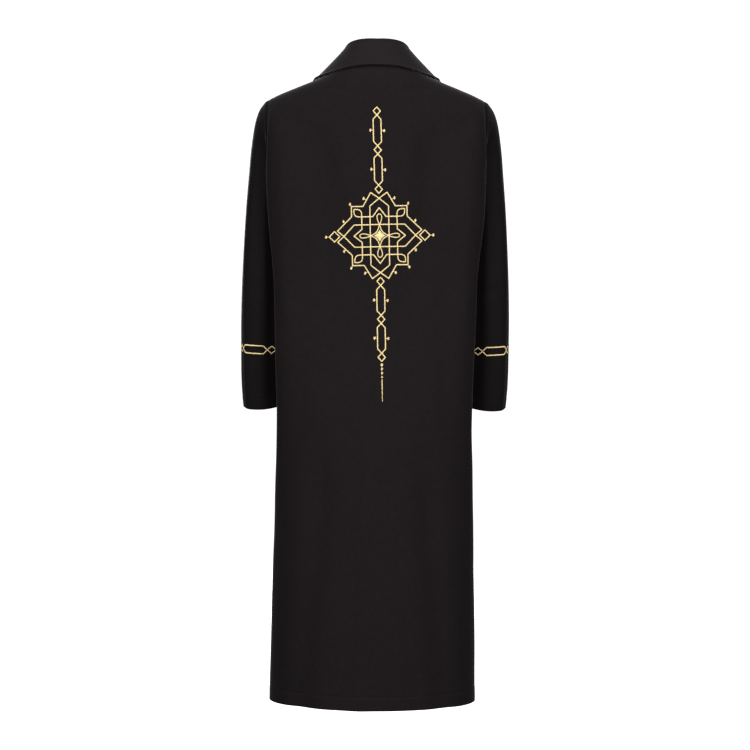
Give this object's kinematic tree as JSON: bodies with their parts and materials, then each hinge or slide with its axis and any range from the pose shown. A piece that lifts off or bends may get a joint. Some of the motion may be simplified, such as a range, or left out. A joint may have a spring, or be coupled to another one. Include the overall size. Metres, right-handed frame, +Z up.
{
  "type": "long manteau",
  "caption": "Long straight black manteau with a wide turned-down collar and set-in sleeves, hollow and hanging as worn, with gold strapwork embroidery down the back and round the sleeves.",
  "frame": {"origin": "middle of the wearer's neck, level with the neck ends of the shoulder seams, where the coat hangs from its wearer", "axes": "+Z up the body, -Y the way the front faces, +X the wearer's left"},
  "size_m": [0.523, 0.2883, 1.2742],
  "materials": {
    "black_cloth": "smooth matt crepe with a soft sheen",
    "gold_thread": "satin-stitched thread, pale gold with a light sheen"
  },
  "bodies": {
    "root": {"back": "black_cloth", "front_left": "black_cloth", "front_right": "black_cloth", "sleeve_left": "black_cloth", "sleeve_right": "black_cloth", "collar": "black_cloth"}
  },
  "joints": []
}
